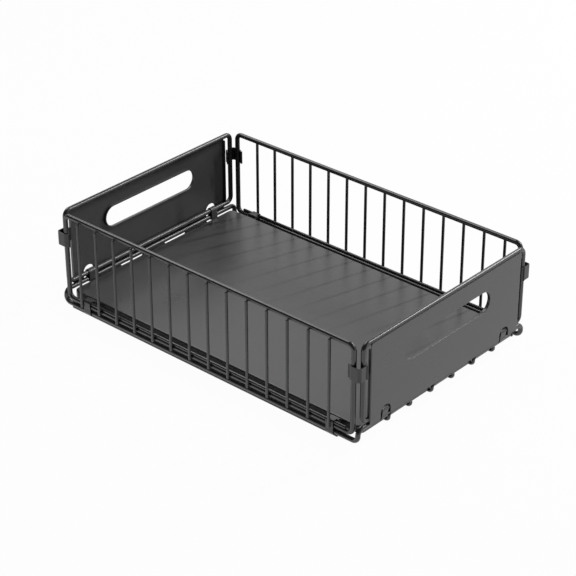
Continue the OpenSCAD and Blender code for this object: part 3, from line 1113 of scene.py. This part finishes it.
# ---------- grilles ----------
@dataclass
class Grille:
    """One long side: a wall loop with uprights, a cross wire and two hinge straps.

    Args:
        shop: where pieces are made.
        back: True for the back grille, which is the front one turned half round.
        pitch: spacing of the uprights.
        count: number of uprights.
        first: X of the first upright of the front grille.
        under: how far the uprights end below the top rail's middle.
        cross_start: distance of the cross wire's left end from the first upright's middle.
        cross_stop: distance of its right end from the bend of the right leg.
        cross_out: distance of the cross wire's middle from the loop's plane.
        cross_up: its height above the bottom rail's middle.
        strap_w: width of a strap.
        strap_t: thickness of its sheet.
        strap_edge: rounding of its cut edges.
        strap_left: X of the front grille's left strap.
        strap_right: X of its right strap.
        strap_gap: clear space between a strap and the wall wires.
        base_gap: clear space between a strap's tail and the base wire.
        pin_y: distance of the hinge pin from the middle.
        pin_z: height of the pin.
        pin_r: radius of the pin's hole.
        bead_sunk: how far a weld bead's middle stands inside the rail's outer face.
        top_bead_under: how far the top beads stand below the top rail's middle.
    """

    shop: Workshop
    back: bool
    pitch: float = 25.0 * MM
    count: int = 14
    first: float = -164.4 * MM
    under: float = 0.8 * MM
    cross_start: float = 0.6 * MM
    cross_stop: float = 2.0 * MM
    cross_out: float = 1.0 * MM
    cross_up: float = 3.873 * MM
    strap_w: float = 9.0 * MM
    strap_t: float = 0.9 * MM
    strap_edge: float = 0.18 * MM
    strap_left: float = -158.2 * MM
    strap_right: float = 160.6 * MM
    strap_gap: float = 0.08 * MM
    base_gap: float = 0.15 * MM
    pin_y: float = 120.95 * MM
    pin_z: float = 15.6 * MM
    pin_r: float = 1.26 * MM
    bead_sunk: float = 0.1 * MM
    top_bead_under: float = 0.9 * MM

    # Degrees that a strap goes round the pin, the cross wire, the rail and the base wire, and how far above
    # the level it meets the base wire
    ROUND_PIN = 270
    ROUND_CROSS = 98
    ROUND_RAIL = 25
    ROUND_BASE = 88
    BASE_FROM = 15
    # Half width and depth of a weld bead, and its half height on the bottom rail, cross wire and top rail
    BEAD = (1.75 * MM, 0.65 * MM)
    BEAD_TALL = (1.5 * MM, 1.2 * MM, 1.3 * MM)

    @property
    def columns(self) -> List[float]:
        """Returns the X of each upright."""
        return [self.first + index * self.pitch for index in range(self.count)]

    def uprights(self) -> Mesh:
        """Draws the row of upright wires.

        Returns:
            One mesh of all uprights.
        """
        mesh = bmesh.new()
        y = -LAYOUT.grille_y - LAYOUT.rail_r - LAYOUT.thin_r
        dome = sum(step for step, _ in DOME) * LAYOUT.thin_r
        low, high = LAYOUT.grille_rail_z - LAYOUT.rail_r + dome, LAYOUT.top_z - self.under - dome
        for x in self.columns:
            pen = Pen(Vector((x, y, low)), Z_AXIS, LAYOUT.thin_r, 16)
            join(mesh, pen.to(Vector((x, y, high))).end())
        return mesh

    def cross_wire(self) -> Mesh:
        """Draws the cross wire on the bottom rail.

        Returns:
            The mesh.
        """
        y, z = -LAYOUT.grille_y - self.cross_out, LAYOUT.grille_rail_z + self.cross_up
        pen = Pen(Vector((self.first + self.cross_start, y, z)), X_AXIS, LAYOUT.thin_r, 16)
        return pen.to(Vector((LAYOUT.leg_x - LAYOUT.loop_bend - self.cross_stop, y, z))).end()

    def welds(self) -> Mesh:
        """Makes the weld beads where the uprights meet the rails and the cross wire.

        Returns:
            One mesh of all beads.
        """
        mesh = bmesh.new()
        y = -LAYOUT.grille_y - LAYOUT.rail_r + self.bead_sunk
        low = LAYOUT.grille_rail_z
        levels = (low, low + self.cross_up, LAYOUT.top_z - self.top_bead_under)
        for x in self.columns:
            for z, tall in zip(levels, self.BEAD_TALL):
                bead(mesh, Vector((x, y, z)), Vector((*self.BEAD, tall)))
        return mesh

    def strap(self, x: float) -> Mesh:
        """Draws a strap: round the pin, over the cross wire, down past the rail and under the base wire.

        Args:
            x: its middle.

        Returns:
            The open sheet at the middle of the strap's thickness.
        """
        half = self.strap_t / 2
        start = x - self.strap_w / 2
        pin = Vector((start, -self.pin_y, self.pin_z))
        rail = Vector((start, -LAYOUT.grille_y, LAYOUT.grille_rail_z))
        cross = rail + Vector((0, -self.cross_out, self.cross_up))
        base = Vector((start, -LAYOUT.base_y, LAYOUT.base_low_z))
        meets = Matrix.Rotation(math.radians(-self.BASE_FROM), 3, X_AXIS) @ -Y_AXIS
        pen = Pen(pin - Y_AXIS * (self.pin_r + half), -Z_AXIS)
        pen.swing(pin, X_AXIS, self.ROUND_PIN, 16)
        pen.to(cross + Z_AXIS * (LAYOUT.thin_r + self.strap_gap + half))
        pen.swing(cross, X_AXIS, self.ROUND_CROSS, 8)
        pen.to(rail - Y_AXIS * (LAYOUT.rail_r + self.strap_gap + half))
        pen.swing(rail, X_AXIS, self.ROUND_RAIL, 4)
        pen.to(base + meets * (LAYOUT.base_r + self.base_gap + half))
        pen.swing(base, X_AXIS, self.ROUND_BASE, 8)
        return pen.pull(X_AXIS * self.strap_w)

    def build(self) -> None:
        """Makes the grille's pieces."""
        side, left, right = ("back", "right", "left") if self.back else ("front", "left", "right")
        body = f"{side}_grille"
        loop = wall_loop(Vector((0, -LAYOUT.grille_y, LAYOUT.grille_rail_z)), X_AXIS, LAYOUT.leg_x)
        piece = self.shop.piece
        for name, mesh, nodes in (
            ("wall_wire", loop, [f"{body}_loop"]),
            ("upright_wires", self.uprights(), [f"{body}_uprights"]),
            ("cross_rod", self.cross_wire(), [f"{body}_cross_wire"]),
            ("weld_beads", self.welds(), []),
        ):
            piece(f"{side}_{name}", half_turn(mesh, self.back), body, Slot.WIRE, nodes)
        for x, name in ((self.strap_left, left), (self.strap_right, right)):
            mesh = half_turn(self.strap(x), self.back)
            node = f"{side}_strap_{name}"
            piece(f"{node}_sheet", mesh, body, Slot.STRAP, [node], self.strap_t, bevel=self.strap_edge)


# ---------- ends ----------
@dataclass
class FoldingEnd:
    """One short side: a wall loop with a slotted panel, its two hinge straps and its two corner clips.

    Args:
        shop: where pieces are made.
        left: True for the left end, which is the right one turned half round.
        panel_y: half the panel's width.
        panel_low: its lower edge.
        panel_top: its upper edge.
        panel_edge: rounding of its cut edges, and of a clip's.
        corner: its corner radius.
        flange: depth of its bent side edges behind its outer face.
        fold: radius of its folds.
        slot_len: length of the hand slot.
        slot_h: height of the slot.
        slot_z: height of the slot's middle.
        collar: depth of the slot's collar behind the outer face.
        collar_fold: radius of the collar's fold, as a share of the panel's.
        hinge_y: distance of the hinges from the middle.
        notch_w: width of a notch.
        notch_z: height of its top.
        strap_w: width of a hinge strap.
        strap_t: thickness of its sheet.
        strap_edge: rounding of its cut edges.
        strap_gap: clear space between a hinge strap and the rail.
        wire_gap: clear space between a hinge strap and the raised base wire.
        tongue_x: where the strap's tongue starts under the floor.
        tongue_len: length of its flat stretch.
        tongue_z: height of that stretch.
        clip_z: height of the clips' middles.
        clip_h: height of a clip.
        clip_t: thickness of its sheet.
        clip_bend: radius of its outer corner.
        clip_gap_grille: clear space between a clip and the grille leg.
        clip_gap_end: clear space between a clip and the end leg.
        flare: radius of a clip's flared lips.
        lip_tip: straight end of the lip on the grille leg.
        mouth_tip: straight end of the lip on the end leg.
        tab: how far the finger tab stands off the end leg's middle.
        tab_weld: how far off the clip's middle sheet the tab starts.
    """

    shop: Workshop
    left: bool
    panel_y: float = 112.4 * MM
    panel_low: float = 18.6 * MM
    panel_top: float = 104.3 * MM
    panel_edge: float = 0.2 * MM
    corner: float = 2.6 * MM
    flange: float = 3.4 * MM
    fold: float = 1.1 * MM
    slot_len: float = 128.0 * MM
    slot_h: float = 22.5 * MM
    slot_z: float = 73.7 * MM
    collar: float = 3.2 * MM
    collar_fold: float = 0.45
    hinge_y: float = 90.0 * MM
    notch_w: float = 14.2 * MM
    notch_z: float = 31.4 * MM
    strap_w: float = 8.5 * MM
    strap_t: float = 0.9 * MM
    strap_edge: float = 0.18 * MM
    strap_gap: float = 0.08 * MM
    wire_gap: float = 0.05 * MM
    tongue_x: float = 184.9 * MM
    tongue_len: float = 2.5 * MM
    tongue_z: float = 15.75 * MM
    clip_z: float = 78.0 * MM
    clip_h: float = 14.5 * MM
    clip_t: float = 1.1 * MM
    clip_bend: float = 2.6 * MM
    clip_gap_grille: float = 0.2 * MM
    clip_gap_end: float = 0.06 * MM
    flare: float = 1.3 * MM
    lip_tip: float = 1.2 * MM
    mouth_tip: float = 1.6 * MM
    tab: float = 4.6 * MM
    tab_weld: float = 0.2 * MM

    # Degrees past half a turn that a hinge strap goes round each wire, at each of its two sides
    STRAP_PAST = 22
    # Direction from the raised base wire's middle to where the tongue meets the strap
    TONGUE_MEETS = Vector((-0.62, 0, -0.78))
    # Seen from above, in degrees from +X: where a clip starts on the grille leg, where it lets go of the
    # end leg and where its finger tab stands; then how far its two lips flare
    LIP_AT = 208
    MOUTH_AT = 80
    TAB_AT = 20
    LIP_FLARE = 80
    MOUTH_FLARE = 62

    def outline(self, x: float) -> Mesh:
        """Draws the panel's outline with its notches.

        Args:
            x: the plane it lies in.

        Returns:
            A closed line.
        """
        wide, inner = self.panel_y, self.panel_y - self.corner
        half, crown = self.notch_w / 2, self.notch_z - self.notch_w / 2
        pen = Pen(Vector((x, -inner, self.panel_low)), Y_AXIS)
        for middle in (-self.hinge_y, self.hinge_y):
            pen.to(Vector((x, middle - half, self.panel_low)))
            pen.to(Vector((x, middle - half, crown)))
            pen.swing(Vector((x, middle, crown)), -X_AXIS, 180, 14)
            pen.to(Vector((x, middle + half, self.panel_low)))
        for side, first, last in ((1, self.panel_low, self.panel_top), (-1, self.panel_top, self.panel_low)):
            rise = side * self.corner
            pen.to(Vector((x, side * inner, first)))
            pen.swing(Vector((x, side * inner, first + rise)), X_AXIS, 90, CORNER_STEPS)
            for z in (first + 2 * rise, last - 2 * rise, last - rise):
                pen.to(Vector((x, side * wide, z)))
            pen.swing(Vector((x, side * inner, last - rise)), X_AXIS, 90, CORNER_STEPS)
        merge(pen.mesh)
        return pen.mesh

    def slot_line(self, x: float) -> Mesh:
        """Draws the hand slot.

        Args:
            x: the plane it lies in.

        Returns:
            A closed line.
        """
        half, deep = (self.slot_len - self.slot_h) / 2, self.slot_h / 2
        pen = Pen(Vector((x, -half, self.slot_z - deep)), Y_AXIS)
        for side in (1, -1):
            pen.to(Vector((x, side * half, self.slot_z - side * deep)))
            pen.swing(Vector((x, side * half, self.slot_z)), X_AXIS, 180, 20)
        merge(pen.mesh)
        return pen.mesh

    def _on_side(self, edge: Edge) -> bool:
        """Tells whether a rim edge is one that is folded in at the panel's side.

        Args:
            edge: the edge.

        Returns:
            True where it is.
        """
        ends = [point.co for point in edge.verts]
        level = (ends[0].z + ends[1].z) / 2
        inside = self.panel_low + 2 * self.corner < level < self.panel_top - 2 * self.corner
        return inside and all(abs(abs(end.y) - self.panel_y) < SAME_POINT for end in ends)

    def _on_slot(self, edge: Edge) -> bool:
        """Returns whether a rim edge lies on the hand slot."""
        across, up = self.slot_len / 2 + SAME_POINT, self.slot_h / 2 + SAME_POINT
        return all(abs(point.co.y) < across and abs(point.co.z - self.slot_z) < up for point in edge.verts)

    def panel(self) -> Mesh:
        """Draws the panel's outer face with its folds.

        Returns:
            The open sheet.
        """
        x = LAYOUT.end_x + LAYOUT.rail_r + LAYOUT.sheet
        mesh = join(self.outline(x), self.slot_line(x))
        bmesh.ops.triangle_fill(mesh, use_beauty=True, use_dissolve=False, edges=mesh.edges[:], normal=X_AXIS)
        bmesh.ops.recalc_face_normals(mesh, faces=mesh.faces[:])
        if mesh.faces[:][0].normal.x < 0:
            bmesh.ops.reverse_faces(mesh, faces=mesh.faces[:])
        rim = [edge for edge in mesh.edges if edge.is_boundary]
        for test, depth, radius in (
            (self._on_side, self.flange, self.fold),
            (self._on_slot, self.collar, self.fold * self.collar_fold),
        ):
            fold_over(mesh, [edge for edge in rim if edge.is_valid and test(edge)], -X_AXIS * depth, radius)
        return mesh

    def hinge_strap(self, y: float) -> Mesh:
        """Draws a hinge strap round the end loop's bottom rail and the raised base wire.

        Args:
            y: its middle.

        Returns:
            The open sheet at the middle of the strap's thickness.
        """
        half = self.strap_t / 2
        start = y - self.strap_w / 2
        rail = Vector((LAYOUT.end_x, start, LAYOUT.end_rail_z))
        wire = Vector((LAYOUT.base_x, start, LAYOUT.base_high_z))
        over = LAYOUT.rail_r + self.strap_gap + half
        under = LAYOUT.base_r + self.wire_gap + half
        meets = Matrix.Rotation(math.radians(-self.STRAP_PAST), 3, Y_AXIS) @ X_AXIS
        round_wire = 180 + 2 * self.STRAP_PAST
        pen = Pen(rail - meets * over, Z_AXIS)
        pen.swing(rail, Y_AXIS, round_wire, 18)
        pen.to(wire + meets * under)
        pen.swing(wire, Y_AXIS, round_wire, 16)
        pen.to(rail - meets * over)
        mesh = pen.pull(Y_AXIS * self.strap_w)
        tongue = Pen(Vector((self.tongue_x, start, self.tongue_z)), X_AXIS).ahead(self.tongue_len)
        tongue.to(wire + self.TONGUE_MEETS * under)
        return join(mesh, tongue.pull(Y_AXIS * self.strap_w))

    def clip(self) -> Mesh:
        """Draws the front right clip.

        Returns:
            The open sheet at the middle of the clip's thickness.
        """
        half = self.clip_t / 2
        low = self.clip_z - self.clip_h / 2
        grille = Vector((LAYOUT.leg_x, -LAYOUT.grille_y, low))
        end = Vector((LAYOUT.end_x, -LAYOUT.leg_y, low))
        round_grille = LAYOUT.rail_r + self.clip_gap_grille + half
        round_end = LAYOUT.rail_r + self.clip_gap_end + half
        lip = grille + level_ray(self.LIP_AT) * (round_grille + self.flare)
        outward = self.LIP_AT + self.LIP_FLARE - 180
        heading = level_ray(outward - 90)
        tip = lip + level_ray(outward) * self.flare
        pen = Pen(tip - heading * self.lip_tip, heading)
        pen.to(tip).swing(lip, -Z_AXIS, self.LIP_FLARE, 5)
        pen.swing(grille, Z_AXIS, 270 - self.LIP_AT)
        pen.to(Vector((end.x + round_end - self.clip_bend, grille.y - round_grille, low)))
        pen.bend_to(Y_AXIS, self.clip_bend)
        pen.to(end + X_AXIS * round_end).swing(end, Z_AXIS, self.MOUTH_AT, 10)
        pen.swing(end + level_ray(self.MOUTH_AT) * (round_end + self.flare), -Z_AXIS, self.MOUTH_FLARE, 5)
        pen.ahead(self.mouth_tip)
        off = level_ray(self.TAB_AT)
        tab = Pen(end + off * (round_end + self.tab_weld), off).to(end + off * self.tab)
        join(pen.mesh, tab.mesh)
        return pen.pull(Z_AXIS * self.clip_h)

    def build(self) -> None:
        """Makes the end's pieces."""
        side = "left" if self.left else "right"
        body = f"{side}_end"
        piece = self.shop.piece
        loop = wall_loop(Vector((LAYOUT.end_x, 0, LAYOUT.end_rail_z)), Y_AXIS, LAYOUT.leg_y)
        piece(f"{side}_wall_wire", half_turn(loop, self.left), body, Slot.WIRE, [f"{body}_loop"])
        mesh = half_turn(self.panel(), self.left)
        nodes, edge = [f"{body}_panel"], self.panel_edge
        piece(f"{side}_panel_sheet", mesh, body, Slot.SHEET, nodes, LAYOUT.sheet, inward=True, bevel=edge)
        for y, name in ((-self.hinge_y, "front"), (self.hinge_y, "back")):
            mesh = mirrored(self.hinge_strap(y), X_AXIS, self.left)
            node = f"{side}_end_strap_{name}"
            piece(f"{node}_sheet", mesh, "base", Slot.STRAP, [node], self.strap_t, bevel=self.strap_edge)
            mesh = mirrored(mirrored(self.clip(), Y_AXIS, name == "back"), X_AXIS, self.left)
            holder = f"{name}_{side}_clip"
            node = f"clip_{name}_{side}"
            piece(f"{holder}_sheet", mesh, holder, Slot.CLIP, [node], self.clip_t, bevel=self.panel_edge)


# ---------- studio ----------
@dataclass(frozen=True)
class SoftLamp:
    """A square-cornered area lamp.

    Args:
        name: its name.
        at: its place.
        size: its width and height.
        power: its power in watts.
        gloss: whether it shows in reflections.
    """

    name: str
    at: Place
    size: Tuple[float, float]
    power: float
    gloss: bool = True

    def hang(self, aim: Vector) -> None:
        """Hangs the lamp, pointing at a place.

        Args:
            aim: the place.
        """
        data = bpy.data.lights.new(self.name, "AREA")
        data.shape = "RECTANGLE"
        data.size, data.size_y = self.size
        data.energy = self.power
        made = stand(self.name, data)
        made.location = self.at
        made.visible_glossy = self.gloss
        made.rotation_euler = (aim - Vector(self.at)).to_track_quat("-Z", "Y").to_euler()


@dataclass
class Studio:
    """Pale ground, soft lamps, world and camera.

    Args:
        ground_half: half the ground's side.
        ground_under: how far the ground lies below the runners.
        aim: what the lamps point at.
        fill: strength of the light that the room gives.
        eye: the camera's place.
        turn: its tilt from looking straight down, its roll and its heading, in degrees.
        lens: its lens in millimetres.
        film: width of its film in millimetres.
    """

    ground_half: float = 6.0
    ground_under: float = 0.02 * MM
    aim: Place = (0, 0, 0.05)
    fill: float = 0.1
    eye: Place = (1.10709279, -1.24565677, 0.99451753)
    turn: Place = (60.173272, 0.094681, 41.643988)
    lens: float = 121.4033
    film: float = 36.0

    # The key lights the whole basket, the back lamp draws the bright lines on the rails of the ends, and
    # the strip casts the shadows of the back uprights on the floor plate
    LAMPS = (
        SoftLamp("key", (-0.95, 0.1, 1.55), (1.2, 1.0), 12.0),
        SoftLamp("back", (0.7, 1.28, 1.34), (1.5, 0.32), 17.0),
        SoftLamp("strip", (0.42, 1.56, 1.1), (0.05, 0.8), 50.0, gloss=False),
    )
    # Directions whose Y lies between these fade in the white sweep behind the object, and those whose Z
    # lies between these fade it out overhead
    SWEEP_Y = (-0.15, 0.25)
    SWEEP_Z = (0.55, 0.85)

    def ground(self) -> None:
        """Lays the ground."""
        mesh = bmesh.new()
        bmesh.ops.create_grid(mesh, x_segments=8, y_segments=8, size=self.ground_half)
        bmesh.ops.translate(mesh, verts=mesh.verts[:], vec=(0, 0, -self.ground_under))
        made = stand("ground", to_data("ground", mesh))
        made.data.materials.append(PaleGround("ground_white", grey(0.4)).material())

    def world(self) -> None:
        """Sets a white sweep behind the object and a dim room around it."""
        made = bpy.data.worlds.new("studio")
        bpy.context.scene.world = made
        shader = Shader(made)
        _, y, z = shader.apart(shader.place())
        camera, glossy = shader.rays()
        sweep = shader.clip(y, *self.SWEEP_Y) * shader.clip(-z, -self.SWEEP_Z[1], -self.SWEEP_Z[0])
        seen = shader.clip(camera + glossy, 0.0, 1.0)
        strength = shader.clip(camera + seen * sweep, 0.0, 1.0) * (1.0 - self.fill) + self.fill
        back = shader.node("ShaderNodeBackground", None, {"Color": (1, 1, 1, 1), "Strength": strength})
        shader.finish(shader.out(back), "ShaderNodeOutputWorld")

    def camera(self) -> None:
        """Stands the camera at the photograph's viewing angle."""
        data = bpy.data.cameras.new("camera")
        data.lens = self.lens
        data.sensor_width = self.film
        made = stand("camera", data)
        made.location = self.eye
        made.rotation_euler = Euler([math.radians(degrees) for degrees in self.turn])
        bpy.context.scene.camera = made

    def build(self) -> None:
        """Sets up the studio."""
        self.ground()
        for lamp in self.LAMPS:
            lamp.hang(Vector(self.aim))
        self.world()
        self.camera()
        bpy.context.scene.view_settings.view_transform = "Standard"


def main() -> None:
    """Builds every sub-assembly in order and dresses the CAD nodes that stay."""
    logging.basicConfig(level=logging.INFO, format="%(message)s")
    dresser = Dresser()
    shop = Workshop(dresser)
    for part in (
        Base(shop),
        FloorPlate(shop),
        Grille(shop, back=False),
        Grille(shop, back=True),
        FoldingEnd(shop, left=False),
        FoldingEnd(shop, left=True),
    ):
        part.build()
        log.info("%s done", type(part).__name__)
    for side in ("front", "back"):
        dresser.dress_node(f"{side}_hinge_pins", Slot.PIN)
        for end in ("left", "right"):
            dresser.dress_node(f"{side}_bracket_{end}", Slot.STRAP)
    Studio().build()
    log.info("%d pieces made", shop.count)


if __name__ == "__main__":
    main()
